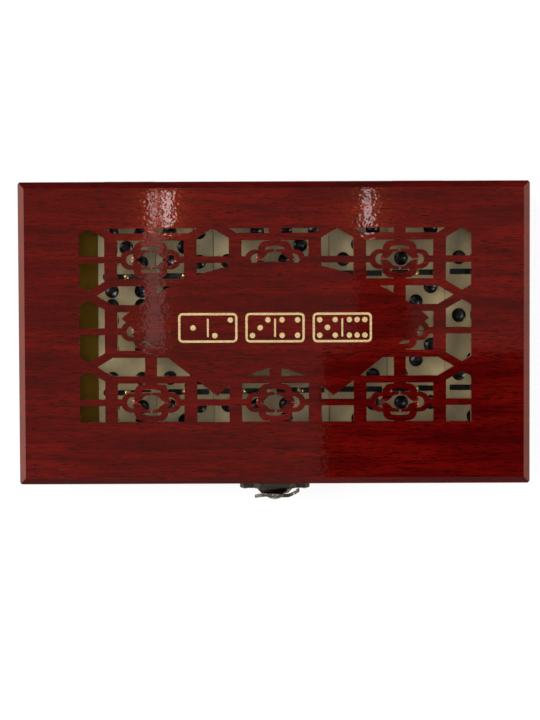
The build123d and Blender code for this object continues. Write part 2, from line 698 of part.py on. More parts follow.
def lever_strip():
    """The bent metal that the lever is cut from, seen from above: x, then distance off the box."""
    hub = LEVER_STANDOFF
    inner = [
        (-LEVER_TAB_REACH, hub + LEVER_TAB_LIFT),
        (-LEVER_HUB_RADIUS, hub),
        (LEVER_BEND_X, hub),
        (HORN_REACH, LATCH_PLATE_THICKNESS + LEVER_HORN_CLEARANCE),
    ]
    outer = [(x, standoff + LEVER_THICKNESS) for x, standoff in reversed(inner)]
    corners = [(x, FRONT_Y - standoff) for x, standoff in inner + outer]
    strip = extrude(Polygon(*corners, align=None), 2 * HORN_REACH, both=True)
    return Pos(0, 0, PIVOT_Z) * strip


def latch_lever():
    cut_out = front_plane(0, PIVOT_Z, 0) * extrude(lever_outline(), 2 * RIVET_HEAD_STANDOFF)
    return cut_out & lever_strip()


def nail_places(z):
    return [front_plane(x, z, LATCH_PLATE_THICKNESS) for x in (-NAIL_SPACING / 2, NAIL_SPACING / 2)]


def nail_holes(z):
    hole = Pos(0, 0, -NAIL_LENGTH) * fastener_bar(NAIL_RADIUS + NAIL_CLEARANCE, 2 * NAIL_LENGTH)
    return [place * hole for place in nail_places(z)]


def latch_nails(z):
    shank = Pos(0, 0, -NAIL_LENGTH) * fastener_bar(NAIL_RADIUS, NAIL_LENGTH)
    nail = shank + fastener_bar(NAIL_HEAD_RADIUS, NAIL_HEAD_HEIGHT, HEAD_TAPER)
    return Compound(children=[place * nail for place in nail_places(z)])


def save_latch():
    save(latch_lid_plate(), "latch_lid_plate")
    save(latch_body_plate(), "latch_body_plate")
    save(latch_rivet(), "latch_rivet")
    save(latch_keeper(), "latch_keeper")
    save(latch_lever(), "latch_lever")
    save(latch_nails(LID_NAIL_Z), "latch_nails_lid")
    save(latch_nails(BODY_NAIL_Z), "latch_nails_body")


def main():
    os.makedirs("parts", exist_ok=True)
    for side, wall in mitred_walls(body_frame()).items():
        save(wall, f"{side}_wall")
    for side, rail in mitred_walls(lid_frame()).items():
        save(rail, f"lid_{side}_rail")
    save(floor_panel(), "floor_panel")
    save(floor_lining(), "floor_lining")
    save(lid_panel(), "lid_panel")
    save_tiles()
    save_hinges()
    save_latch()


main()
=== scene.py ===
"""Looks of a lacquered domino storage box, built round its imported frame. Metres throughout."""

import math

import bmesh
import bpy
from mathutils import Matrix, Vector


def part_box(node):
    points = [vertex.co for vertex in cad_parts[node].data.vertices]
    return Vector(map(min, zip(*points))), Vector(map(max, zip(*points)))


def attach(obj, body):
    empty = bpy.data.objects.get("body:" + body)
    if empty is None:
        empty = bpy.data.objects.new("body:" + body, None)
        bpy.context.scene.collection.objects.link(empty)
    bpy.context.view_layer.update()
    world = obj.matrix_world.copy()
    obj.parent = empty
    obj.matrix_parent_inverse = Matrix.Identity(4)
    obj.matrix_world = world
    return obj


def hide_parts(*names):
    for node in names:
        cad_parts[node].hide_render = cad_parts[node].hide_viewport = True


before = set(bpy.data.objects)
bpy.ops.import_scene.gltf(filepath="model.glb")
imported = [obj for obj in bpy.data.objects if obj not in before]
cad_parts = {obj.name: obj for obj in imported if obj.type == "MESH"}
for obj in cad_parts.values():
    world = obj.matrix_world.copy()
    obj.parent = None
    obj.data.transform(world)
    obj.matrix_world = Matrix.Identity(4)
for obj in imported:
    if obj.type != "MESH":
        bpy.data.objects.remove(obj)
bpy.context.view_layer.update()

MM = 0.001
LEFT, RIGHT = -1, 1
WOOD_NODES_ALONG_X = ("front_wall", "rear_wall", "lid_front_rail", "lid_rear_rail", "floor_panel")
WOOD_NODES_ALONG_Y = ("left_wall", "right_wall", "lid_left_rail", "lid_right_rail")

# Tiles from left to right, each with its rear and its front value.
TILE_ROWS = {
    "upper": ("5|6 5|5 2|4 5|1 3|6 2|3 2|2", "4|6 4|5 1|4 1|6 5|3 3|4 3|1"),
    "lower": ("0|0 0|2 6|0 1|1 2|5 3|3 6|6", "0|1 3|0 0|4 5|0 1|2 2|6 4|4"),
}
PIP_PITCH = 6.4 * MM
PIP_RADIUS = 2.95 * MM
PIP_DEPTH = 0.85 * MM
PIP_RIM = 0.12 * MM
TILE_EDGE = 0.45 * MM
TILE_CORNER = 0.7 * MM
BAR_LENGTH = 20.8 * MM
BAR_WIDTH = 2.4 * MM
BAR_DEPTH = 0.6 * MM
STUD_RADIUS = 1.75 * MM
STUD_RISE = 0.75 * MM
STUD_SINK = 0.68 * MM

TILE_FACE_DEPTH = 1.4 * MM
TILE_BODY_INSET = 0.02 * MM
PIP_SINK = 0.6 * PIP_RIM
TILE_BAR_CORNER = 0.5 * MM
OVERLAP = 0.05 * MM

PANEL_EDGE = 0.28 * MM
METAL_EDGE = 0.14 * MM
PANEL_SHARP_ANGLE = 32
METAL_SHARP_ANGLE = 25
FLAT_ANGLE = 0.5
SMOOTH_ANGLE = 40
WELD_DISTANCE = 0.002 * MM

CORNER_STEPS = 4
EDGE_STEPS = 2
DOME_STEPS = 6
PIP_STEPS = 32
FOIL_PIP_STEPS = 28
STUD_STEPS = 28
HEAD_STEPS = 40

ORNAMENT_CENTRE = (0.4 * MM, 2.3 * MM)
ORNAMENT_TILE = 12.6 * MM
ORNAMENT_GAP = 3.4 * MM
ORNAMENT_LINE = 0.95 * MM
ORNAMENT_CORNER = 1.9 * MM
ORNAMENT_PIP_RADIUS = 1.15 * MM
ORNAMENT_PIP_PITCH = 3.3 * MM
ORNAMENT_BAR_LENGTH = 0.62 * ORNAMENT_TILE
ORNAMENT_BAR_WIDTH = 0.8 * ORNAMENT_LINE
ORNAMENT_BAR_CORNER = 0.3 * ORNAMENT_LINE
FOIL_THICKNESS = 0.03 * MM

# A turned head: how far each kind rises, then shares of its radius and of its rise.
RIVET_RISE = 1.3 * MM
KEEPER_RISE = 1.0 * MM
NAIL_RISE = 0.5 * MM
HEAD_SHANK = 0.42
HEAD_FOOT = 0.92
HEAD_STEP = 0.12

FLOOR_HALF_SIDE = 4.0
WALL_CARD_DISTANCE = 0.5
WALL_CARD_HEIGHT = 0.1
WALL_CARD_HALF_LENGTH = 0.45
WALL_CARD_HALF_HEIGHT = 0.2
CEILING = 0.9
CARD_GAP = 0.01
CAMERA_PLACE = Vector((1.6 * MM, 22.8 * MM, 890 * MM))
CAMERA_TURN = (-2.31, 0.22, -0.23)
CAMERA_LENS = 99.94
SENSOR = 36.0


# ---- node materials --------------------------------------------------------------------------


def feed(tree, socket, value):
    """Sets a socket's value, or links another node's output to it."""
    if isinstance(value, bpy.types.NodeSocket):
        tree.links.new(value, socket)
    else:
        socket.default_value = value


def node(tree, kind, settings=None, inputs=None):
    """A new shader node, with its settings and the values or links of its inputs."""
    made = tree.nodes.new("ShaderNode" + kind)
    for key, value in (settings or {}).items():
        setattr(made, key, value)
    for key, value in (inputs or {}).items():
        feed(tree, made.inputs[key], value)
    return made


def material(name):
    """An empty node material: its tree, and its Principled surface."""
    made = bpy.data.materials.new(name)
    made.use_nodes = True
    tree = made.node_tree
    return made, tree, tree.nodes["Principled BSDF"]


def place(tree, scale, shift=(0, 0, 0)):
    """Object coordinates in metres, stretched per axis."""
    coordinates = node(tree, "TexCoord").outputs["Object"]
    mapping = node(tree, "Mapping", None, {"Vector": coordinates, "Scale": scale, "Location": shift})
    return mapping.outputs["Vector"]


def noise(tree, scale, shift=(0, 0, 0), detail=3.0, roughness=0.55, distortion=0.0):
    """Noise from 0 to 1 in object space, with a scale in cells per metre along each axis."""
    inputs = {
        "Vector": place(tree, scale, shift), "Scale": 1.0, "Detail": detail,
        "Roughness": roughness, "Distortion": distortion,
    }
    return node(tree, "TexNoise", None, inputs).outputs["Fac"]


def ramp(tree, value, stops):
    """A colour ramp through (position, grey or colour) stops."""
    made = node(tree, "ValToRGB", None, {"Fac": value})
    elements = made.color_ramp.elements
    while len(elements) < len(stops):
        elements.new(0.5)
    for element, (position, colour) in zip(elements, stops):
        element.position = position
        element.color = (*([colour] * 3 if isinstance(colour, (int, float)) else colour), 1)
    return made.outputs["Color"]


def mix(tree, factor, first, second, blend="MIX"):
    """Two colours mixed. Sockets 6 and 7 and result 2 are the Mix node's colour ones."""
    made = node(tree, "Mix", {"data_type": "RGBA", "blend_type": blend})
    feed(tree, made.inputs[0], factor)
    feed(tree, made.inputs[6], first if isinstance(first, bpy.types.NodeSocket) else (*first, 1))
    feed(tree, made.inputs[7], second if isinstance(second, bpy.types.NodeSocket) else (*second, 1))
    return made.outputs[2]


def bump(tree, height, distance, normal=None):
    """A bumped normal: the distance is how far a height of 1 stands out."""
    inputs = {"Height": height, "Distance": distance, "Strength": 1.0}
    if normal is not None:
        inputs["Normal"] = normal
    return node(tree, "Bump", None, inputs).outputs["Normal"]


def lacquered_wood(name, grain_axis, shift):
    """Dark red stain over fine straight grain, under a thick clear coat with a faint orange peel."""
    made, tree, surface = material(name)

    def along(length, width):
        scale = [1 / width] * 3
        scale[grain_axis] = 1 / length
        return scale

    bands = noise(tree, along(80 * MM, 7 * MM), shift, detail=3, distortion=0.8)
    streaks = noise(tree, along(15 * MM, 1.1 * MM), shift, detail=5, roughness=0.62)
    pores = noise(tree, along(4.2 * MM, 0.42 * MM), shift, detail=2, roughness=0.5)
    fine = noise(tree, along(12 * MM, 0.22 * MM), shift, detail=3)
    base = ramp(tree, bands, [
        (0.34, (0.053, 0.0005, 0.0007)), (0.5, (0.078, 0.0010, 0.0010)), (0.66, (0.106, 0.0020, 0.0015)),
    ])
    streak_tone = ramp(tree, streaks, [(0.32, 0.46), (0.46, 0.90), (0.60, 1.08), (0.74, 1.38)])
    toned = mix(tree, 1.0, base, streak_tone, "MULTIPLY")
    fine_tone = ramp(tree, fine, [(0.3, 0.92), (0.7, 1.07)])
    toned = mix(tree, 1.0, toned, fine_tone, "MULTIPLY")
    pore_mask = ramp(tree, pores, [(0.57, 0.0), (0.63, 0.9)])
    colour = mix(tree, pore_mask, toned, (0.014, 0.0006, 0.0006))
    feed(tree, surface.inputs["Base Color"], colour)
    feed(tree, surface.inputs["Roughness"], ramp(tree, streaks, [(0.3, 0.13), (0.7, 0.07)]))
    surface.inputs["Specular IOR Level"].default_value = 1.0
    surface.inputs["Specular Tint"].default_value = (1.0, 0.14, 0.02, 1)
    surface.inputs["Coat Weight"].default_value = 0.85
    surface.inputs["Coat Roughness"].default_value = 0.022
    surface.inputs["Coat IOR"].default_value = 1.48
    ripple = noise(tree, along(2.8 * MM, 2.0 * MM), shift, detail=1)
    pebbles = noise(tree, along(1.0 * MM, 0.9 * MM), shift, detail=0)
    coat = bump(tree, ripple, 0.011 * MM)
    coat = bump(tree, pebbles, 0.004 * MM, coat)
    feed(tree, surface.inputs["Coat Normal"], coat)
    feed(tree, surface.inputs["Normal"], coat)
    return made


def ivory(name, shift):
    """Cast ivory-coloured resin, faintly clouded, polished."""
    made, tree, surface = material(name)
    cloud = noise(tree, (90, 60, 90), shift, detail=4)
    fleck = noise(tree, (900, 500, 900), shift, detail=2)
    colour = ramp(tree, cloud, [(0.3, (0.43, 0.33, 0.155)), (0.7, (0.53, 0.42, 0.21))])
    colour = mix(tree, 1.0, colour, ramp(tree, fleck, [(0.3, 0.93), (0.7, 1.04)]), "MULTIPLY")
    feed(tree, surface.inputs["Base Color"], colour)
    feed(tree, surface.inputs["Roughness"], ramp(tree, cloud, [(0.3, 0.34), (0.7, 0.24)]))
    surface.inputs["Subsurface Weight"].default_value = 0.06
    surface.inputs["Subsurface Scale"].default_value = 0.6 * MM
    feed(tree, surface.inputs["Normal"], bump(tree, fleck, 0.006 * MM))
    return made


def black_paint(name):
    """Glossy black enamel that fills the pips and the bars."""
    made, tree, surface = material(name)
    uneven = noise(tree, (700, 700, 700), detail=3)
    colour = ramp(tree, uneven, [(0.3, (0.004, 0.005, 0.005)), (0.7, (0.012, 0.013, 0.012))])
    feed(tree, surface.inputs["Base Color"], colour)
    feed(tree, surface.inputs["Roughness"], ramp(tree, uneven, [(0.3, 0.12), (0.7, 0.24)]))
    feed(tree, surface.inputs["Normal"], bump(tree, uneven, 0.02 * MM))
    return made


def worn_metal(name, dark, bright, roughness, wear):
    """Metal with a mottled patina that is rubbed bright in patches."""
    made, tree, surface = material(name)
    patches = noise(tree, (420, 420, 420), detail=5, roughness=0.65)
    grains = noise(tree, (2600, 2600, 2600), detail=2)
    rubbed = ramp(tree, patches, [(0.62 - wear, 0.0), (0.78 - wear / 2, 1.0)])
    colour = mix(tree, rubbed, dark, bright)
    colour = mix(tree, 1.0, colour, ramp(tree, grains, [(0.3, 0.8), (0.7, 1.15)]), "MULTIPLY")
    feed(tree, surface.inputs["Base Color"], colour)
    evenness = ramp(tree, patches, [(0.35, roughness + 0.12), (0.7, roughness - 0.08)])
    feed(tree, surface.inputs["Roughness"], evenness)
    surface.inputs["Metallic"].default_value = 1.0
    feed(tree, surface.inputs["Normal"], bump(tree, grains, 0.012 * MM))
    return made


def nap_lining(name):
    """Short olive-gold pile, brushed unevenly."""
    made, tree, surface = material(name)
    brushed = noise(tree, (45, 30, 45), detail=3, distortion=0.8)
    pile = noise(tree, (3200, 3200, 3200), detail=2)
    colour = ramp(tree, brushed, [(0.3, (0.40, 0.22, 0.022)), (0.7, (0.56, 0.32, 0.034))])
    colour = mix(tree, 1.0, colour, ramp(tree, pile, [(0.3, 0.7), (0.7, 1.25)]), "MULTIPLY")
    feed(tree, surface.inputs["Base Color"], colour)
    surface.inputs["Roughness"].default_value = 0.95
    surface.inputs["Specular IOR Level"].default_value = 0.1
    surface.inputs["Sheen Weight"].default_value = 0.2
    surface.inputs["Sheen Roughness"].default_value = 0.5
    feed(tree, surface.inputs["Normal"], bump(tree, pile, 0.12 * MM))
    return made


def gold_foil(name):
    """Hot-stamped gold foil: a fine dry grain with darker specks."""
    made, tree, surface = material(name)
    grain = noise(tree, (2400, 1500, 2400), detail=4, roughness=0.7)
    worn = noise(tree, (500, 900, 500), detail=3)
    colour = ramp(tree, grain, [
        (0.28, (0.26, 0.16, 0.05)), (0.45, (0.55, 0.40, 0.17)), (0.7, (0.80, 0.62, 0.33)),
    ])
    colour = mix(tree, 1.0, colour, ramp(tree, worn, [(0.25, 0.75), (0.55, 1.0)]), "MULTIPLY")
    feed(tree, surface.inputs["Base Color"], colour)
    surface.inputs["Metallic"].default_value = 0.35
    feed(tree, surface.inputs["Roughness"], ramp(tree, grain, [(0.3, 0.6), (0.7, 0.4)]))
    feed(tree, surface.inputs["Normal"], bump(tree, grain, 0.02 * MM))
    return made


# ---- mesh tools ------------------------------------------------------------------------------


def link(mesh, name, materials, body, slot, *replaced):
    """Makes a piece of a mesh, riding on a body and standing for CAD nodes."""
    piece = bpy.data.objects.new(name, mesh)
    bpy.context.scene.collection.objects.link(piece)
    for one in materials:
        mesh.materials.append(one)
    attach(piece, body)
    if replaced:
        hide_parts(*replaced)
    return piece


def smooth(mesh):
    """Smooth shading that keeps the sharp edges."""
    mesh.shade_smooth()
    mesh.set_sharp_from_angle(angle=math.radians(SMOOTH_ANGLE))


def paint(cad_node, finish):
    """Gives a CAD node's object its material."""
    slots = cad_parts[cad_node].data.materials
    slots.clear()
    slots.append(finish)


def circle(x, y, radius, count):
    """Points counter-clockwise round a circle."""
    return [
        (x + radius * math.cos(2 * math.pi * k / count), y + radius * math.sin(2 * math.pi * k / count))
        for k in range(count)
    ]


def rounded_rectangle(x, y, length, depth, radius):
    """Points counter-clockwise round a rectangle with round corners."""
    points = []
    for quarter, (x_sign, y_sign) in enumerate(((1, 1), (-1, 1), (-1, -1), (1, -1))):
        centre_x = x + x_sign * (length / 2 - radius)
        centre_y = y + y_sign * (depth / 2 - radius)
        for step in range(CORNER_STEPS + 1):
            angle = math.pi / 2 * (quarter + step / CORNER_STEPS)
            points.append((centre_x + radius * math.cos(angle), centre_y + radius * math.sin(angle)))
    return points


def slab(loops, low_z, high_z, edge=0.0):
    """A flat plate from an outline and its holes, with rounded edges, as a new mesh."""
    curve = bpy.data.curves.new("slab", "CURVE")
    curve.dimensions = "2D"
    curve.fill_mode = "BOTH"
    curve.extrude = (high_z - low_z) / 2 - edge
    curve.bevel_depth = edge
    curve.bevel_resolution = EDGE_STEPS
    curve.offset = -edge
    for points in loops:
        spline = curve.splines.new("POLY")
        spline.points.add(len(points) - 1)
        for point, (x, y) in zip(spline.points, points):
            point.co = (x, y, 0, 1)
        spline.use_cyclic_u = True
    holder = bpy.data.objects.new("slab", curve)
    bpy.context.scene.collection.objects.link(holder)
    bpy.context.view_layer.update()
    mesh = bpy.data.meshes.new_from_object(holder.evaluated_get(bpy.context.evaluated_depsgraph_get()))
    bpy.data.objects.remove(holder)
    bpy.data.curves.remove(curve)
    mesh.transform(Matrix.Translation((0, 0, (low_z + high_z) / 2)))
    return mesh


def lathe(profile, centre, axis, steps):
    """A solid turned from (radius, height) points, its heights along an axis from a centre."""
    mesh = bpy.data.meshes.new("turned")
    shape = bmesh.new()
    rings = []
    for radius, height in profile:
        if radius == 0:
            rings.append([shape.verts.new((0, 0, height))])
        else:
            rings.append([shape.verts.new((x, y, height)) for x, y in circle(0, 0, radius, steps)])
    for lower, upper in zip(rings, rings[1:]):
        for k in range(steps):
            corners = [lower[k % len(lower)], lower[(k + 1) % len(lower)],
                       upper[(k + 1) % len(upper)], upper[k % len(upper)]]
            unique = list(dict.fromkeys(corners))
            if len(unique) > 2:
                shape.faces.new(unique)
    turn = Vector(axis).to_track_quat("Z", "Y").to_matrix().to_4x4()
    shape.transform(Matrix.Translation(centre) @ turn)
    bmesh.ops.recalc_face_normals(shape, faces=shape.faces)
    shape.to_mesh(mesh)
    shape.free()
    smooth(mesh)
    return mesh


def joined(meshes):
    """One mesh of several, each with the number of its material slot."""
    shape = bmesh.new()
    for mesh, slot_number in meshes:
        start = len(shape.faces)
        shape.from_mesh(mesh)
        shape.faces.ensure_lookup_table()
        for face in shape.faces[start:]:
            face.material_index = slot_number
        bpy.data.meshes.remove(mesh)
    result = bpy.data.meshes.new("joined")
    shape.to_mesh(result)
    shape.free()
    return result


def dome(radius, rise):
    """(radius, height) points of a cap from its rim at height 0 to its top."""
    sphere = (radius * radius + rise * rise) / (2 * rise)
    span = math.asin(min(1, radius / sphere))
    points = []
    for k in range(DOME_STEPS + 1):
        angle = span * (1 - k / DOME_STEPS)
        ring = sphere * math.sin(angle) if k < DOME_STEPS else 0
        points.append((ring, sphere * math.cos(angle) - (sphere - rise)))
    return points


# ---- box -------------------------------------------------------------------------------------


def rounded_copy(cad_node, name, edge, materials, body, slot, sharp):
    """A copy of a CAD node with every edge rounded that turns by more than the sharp angle."""
    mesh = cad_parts[cad_node].data.copy()
    shape = bmesh.new()
    shape.from_mesh(mesh)
    bmesh.ops.remove_doubles(shape, verts=shape.verts, dist=WELD_DISTANCE)
    bmesh.ops.dissolve_limit(shape, angle_limit=math.radians(FLAT_ANGLE), verts=shape.verts,
                             edges=shape.edges)
    edges = [e for e in shape.edges if e.is_manifold and e.calc_face_angle(0) > math.radians(sharp)]
    bmesh.ops.bevel(shape, geom=edges, offset=edge, offset_type="OFFSET", segments=2,
                    profile=0.5, affect="EDGES", clamp_overlap=True)
    bmesh.ops.triangulate(shape, faces=[f for f in shape.faces if len(f.verts) > 4])
    shape.to_mesh(mesh)
    shape.free()
    mesh.materials.clear()
    for layer in list(mesh.attributes):
        if layer.name == "custom_normal":
            mesh.attributes.remove(layer)
    mesh.shade_smooth()
    piece = link(mesh, name, materials, body, slot, cad_node)
    even = piece.modifiers.new("flat_faces_stay_flat", "WEIGHTED_NORMAL")
    even.mode = "FACE_AREA"
    even.weight = 100
    return piece


def make_box():
    """The walls, the rails and the floor, each board with grain of its own, and the fretwork."""
    for number, name in enumerate(WOOD_NODES_ALONG_X):
        paint(name, lacquered_wood("wood_" + name, 0, (1.7 * number, 3.1 * number, 0)))
    for number, name in enumerate(WOOD_NODES_ALONG_Y):
        paint(name, lacquered_wood("wood_" + name, 1, (2.3 * number, 1.3 * number, 5)))
    paint("floor_lining", nap_lining("lining_pile"))
    wood = lacquered_wood("wood_lid_panel", 0, (11.0, 4.0, 2.0))
    rounded_copy("lid_panel", "lid_fretwork", PANEL_EDGE, [wood], "lid", "lacquered_wood",
                 PANEL_SHARP_ANGLE)


# ---- gold ornament ---------------------------------------------------------------------------


def pip_places(value):
    """Middles of a value's pips, in pip pitches from the middle of the half tile."""
    places = []
    if value % 2 == 1:
        places += [(0, 0)]
    if value >= 2:
        places += [(1, 1), (-1, -1)]
    if value >= 4:
        places += [(1, -1), (-1, 1)]
    if value == 6:
        places += [(1, 0), (-1, 0)]
    return places


def make_ornament():
    """Three dominoes lying end to end, drawn in gold foil: 1 to 6."""
    _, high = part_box("lid_panel")
    centre_x, centre_y = ORNAMENT_CENTRE
    pitch = 2 * ORNAMENT_TILE + ORNAMENT_GAP
    meshes = []
    for place_number in (-1, 0, 1):
        x = centre_x + place_number * pitch
        outer = rounded_rectangle(x, centre_y, 2 * ORNAMENT_TILE, ORNAMENT_TILE, ORNAMENT_CORNER)
        inner_length = 2 * (ORNAMENT_TILE - ORNAMENT_LINE)
        inner_depth = ORNAMENT_TILE - 2 * ORNAMENT_LINE
        inner_corner = ORNAMENT_CORNER - ORNAMENT_LINE
        inner = rounded_rectangle(x, centre_y, inner_length, inner_depth, inner_corner)
        bar = rounded_rectangle(x, centre_y, ORNAMENT_BAR_WIDTH, ORNAMENT_BAR_LENGTH, ORNAMENT_BAR_CORNER)
        outlines = [[outer, inner], [bar]]
        for side in (LEFT, RIGHT):
            value = 2 * place_number + 3 + (side > 0)
            middle = x + side * ORNAMENT_TILE / 2
            for across, along in pip_places(value):
                pip_x = middle + along * ORNAMENT_PIP_PITCH
                pip_y = centre_y + across * ORNAMENT_PIP_PITCH
                outlines.append([circle(pip_x, pip_y, ORNAMENT_PIP_RADIUS, FOIL_PIP_STEPS)])
        for loops in outlines:
            meshes.append((slab(loops, high.z, high.z + FOIL_THICKNESS), 0))
    link(joined(meshes), "lid_gold_ornament", [gold_foil("gold_foil")], "lid", "stud")


# ---- tiles -----------------------------------------------------------------------------------


def tile_mesh(middle, top, size, rear_value, front_value):
    """A tile with rounded edges, dished pips and a sunk bar; its domed stud is a mesh of its own."""
    x, y = middle
    holes = []
    for value, half in ((rear_value, 1), (front_value, -1)):
        for across, along in pip_places(value):
            holes.append((x + across * PIP_PITCH, y + half * size.y / 4 + along * PIP_PITCH))
    outline = rounded_rectangle(x, y, size.x, size.y, TILE_CORNER)
    loops = [outline] + [circle(px, py, PIP_RADIUS + PIP_RIM, PIP_STEPS) for px, py in holes]
    loops.append(rounded_rectangle(x, y, BAR_LENGTH, BAR_WIDTH, TILE_BAR_CORNER))
    parts = [(slab(loops, top - TILE_FACE_DEPTH, top, PIP_RIM), 0)]
    body_outline = rounded_rectangle(x, y, size.x - TILE_BODY_INSET, size.y - TILE_BODY_INSET, TILE_CORNER)
    parts.append((slab([body_outline], top - size.z, top - TILE_FACE_DEPTH + PIP_RIM, TILE_EDGE), 0))
    for px, py in holes:
        dish = [(r, -h) for r, h in dome(PIP_RADIUS + OVERLAP, PIP_DEPTH)]
        parts.append((lathe(dish, (px, py, top - PIP_SINK), (0, 0, 1), PIP_STEPS), 1))
    floor_length, floor_width = BAR_LENGTH + 2 * OVERLAP, BAR_WIDTH + 2 * OVERLAP
    bar_floor = rounded_rectangle(x, y, floor_length, floor_width, TILE_BAR_CORNER)
    parts.append((slab([bar_floor], top - TILE_FACE_DEPTH, top - BAR_DEPTH), 1))
    mesh = joined(parts)
    smooth(mesh)
    return mesh


def make_tiles():
    """All 28 tiles in two layers, each with its pips, and the domed studs of each layer."""
    enamel = black_paint("black_enamel")
    brass = worn_metal("stud_brass", (0.66, 0.48, 0.20), (0.92, 0.76, 0.44), 0.2, 0.2)
    for layer, rows in TILE_ROWS.items():
        studs = []
        for row, tiles in enumerate(rows):
            for column, tile in enumerate(tiles.split()):
                rear_value, front_value = [int(value) for value in tile.split("|")]
                low_value, high_value = sorted((rear_value, front_value))
                cad_node = f"tile_{low_value}_{high_value}"
                low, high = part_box(cad_node)
                middle = ((low.x + high.x) / 2, (low.y + high.y) / 2)
                mesh = tile_mesh(middle, high.z, high - low, rear_value, front_value)
                resin = ivory(f"ivory_{low_value}_{high_value}", (3.7 * column, 5.1 * row, low_value))
                link(mesh, f"ivory_tile_{low_value}_{high_value}", [resin, enamel],
                     "box_body", "tile", cad_node)
                profile = [(0, 0.0), (STUD_RADIUS, 0.0)] + dome(STUD_RADIUS, STUD_RISE)
                stud = lathe(profile, (*middle, high.z - STUD_SINK), (0, 0, 1), STUD_STEPS)
                studs.append((stud, 0))
        link(joined(studs), f"domed_studs_{layer}", [brass], "box_body", "stud", f"tile_studs_{layer}")


# ---- metalwork -------------------------------------------------------------------------------


def turned_head(cad_node, name, rise, metal, body, slot):
    """Round-headed fasteners in place of one CAD node's solids, which point out of the front."""
    low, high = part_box(cad_node)
    centre_z = (low.z + high.z) / 2
    radius = (high.z - low.z) / 2
    middles = [(low.x + high.x) / 2]
    if high.x - low.x > 3 * radius:
        middles = [low.x + radius, high.x - radius]
    shank = HEAD_SHANK * radius
    seat = high.y - low.y - rise
    parts = []
    for x in middles:
        profile = [(0, 0), (shank, 0), (shank, seat), (HEAD_FOOT * radius, seat)]
        rim = seat + HEAD_STEP * rise
        profile += [(r, rim + h * (1 - HEAD_STEP)) for r, h in dome(radius, rise)]
        parts.append((lathe(profile, (x, high.y, centre_z), (0, -1, 0), HEAD_STEPS), 0))
    link(joined(parts), name, [metal], body, slot, cad_node)


def make_latch():
    """The dark plates, the rubbed lever, and the heads of rivet, keeper and nails."""
    bronze = worn_metal("bronze_plate", (0.066, 0.057, 0.042), (0.25, 0.22, 0.165), 0.32, 0.05)
    rubbed = worn_metal("bronze_rubbed", (0.060, 0.052, 0.040), (0.55, 0.48, 0.39), 0.25, 0.14)
    for cad_node, name, body in (
        ("latch_lid_plate", "lid_plate_metal", "lid"),
        ("latch_body_plate", "body_plate_metal", "box_body"),
        ("latch_lever", "lever_metal", "latch_lever"),
    ):
        metal = rubbed if cad_node == "latch_lever" else bronze
        rounded_copy(cad_node, name, METAL_EDGE, [metal], body, "antique_bronze", METAL_SHARP_ANGLE)
    turned_head("latch_rivet", "rivet_metal", RIVET_RISE, rubbed, "lid", "antique_bronze")
    turned_head("latch_keeper", "keeper_metal", KEEPER_RISE, rubbed, "box_body", "antique_bronze")
    turned_head("latch_nails_lid", "nails_lid_metal", NAIL_RISE, rubbed, "lid", "antique_bronze")
    turned_head("latch_nails_body", "nails_body_metal", NAIL_RISE, rubbed, "box_body", "antique_bronze")


def make_hinges():
    """The leaves in dull brass, the pins and the screws in brighter brass."""
    brass = worn_metal("hinge_brass", (0.30, 0.20, 0.075), (0.55, 0.40, 0.17), 0.36, 0.05)
    bright = worn_metal("pin_brass", (0.34, 0.24, 0.10), (0.6, 0.46, 0.22), 0.3, 0.1)
    for hand in ("left", "right"):
        paint(f"hinge_leaf_body_{hand}", brass)
        paint(f"hinge_leaf_lid_{hand}", brass)
        paint(f"hinge_pin_{hand}", bright)
    paint("hinge_screws_body", bright)
    paint("hinge_screws_lid", bright)


# ---- studio ----------------------------------------------------------------------------------


def seen_ray(tree):
    """1 for camera, glossy and transmission rays, 0 for the rest."""
    path = node(tree, "LightPath")
    either = node(tree, "Math", {"operation": "MAXIMUM"})
    feed(tree, either.inputs[0], path.outputs["Is Camera Ray"])
    feed(tree, either.inputs[1], path.outputs["Is Glossy Ray"])
    both = node(tree, "Math", {"operation": "MAXIMUM"})
    feed(tree, both.inputs[0], either.outputs[0])
    feed(tree, both.inputs[1], path.outputs["Is Transmission Ray"])
    return both.outputs[0]


def bare_material(name):
    """A node material with an empty tree."""
    made = bpy.data.materials.new(name)
    made.use_nodes = True
    made.node_tree.nodes.clear()
    return made, made.node_tree


def studio_sheet(name, corners, finish):
    """A four-cornered sheet of one material, for the studio."""
    mesh = bpy.data.meshes.new(name)
    mesh.from_pydata(corners, [], [(0, 1, 2, 3)])
    mesh.materials.append(finish)
    sheet = bpy.data.objects.new(name, mesh)
    bpy.context.scene.collection.objects.link(sheet)
    return sheet


def make_floor():
    """White to the camera and in gloss, but for the object's shadow, and pale grey as a reflector."""
    made, tree = bare_material("pale_floor")
    matt = node(tree, "BsdfDiffuse", None, {"Color": (0.8, 0.8, 0.8, 1)})
    faint = node(tree, "BsdfDiffuse", None, {"Color": (0.25, 0.25, 0.25, 1)})
    glow = node(tree, "Emission", None, {"Color": (1, 1, 1, 1), "Strength": 0.80})
    lit = node(tree, "AddShader")
    feed(tree, lit.inputs[0], faint.outputs[0])
    feed(tree, lit.inputs[1], glow.outputs[0])
    choose = node(tree, "MixShader")
    feed(tree, choose.inputs[0], seen_ray(tree))
    feed(tree, choose.inputs[1], matt.outputs[0])
    feed(tree, choose.inputs[2], lit.outputs[0])
    output = node(tree, "OutputMaterial")
    feed(tree, output.inputs["Surface"], choose.outputs[0])
    half = FLOOR_HALF_SIDE
    corners = [(-half, -half, 0), (half, -half, 0), (half, half, 0), (-half, half, 0)]
    floor = studio_sheet("floor", corners, made)


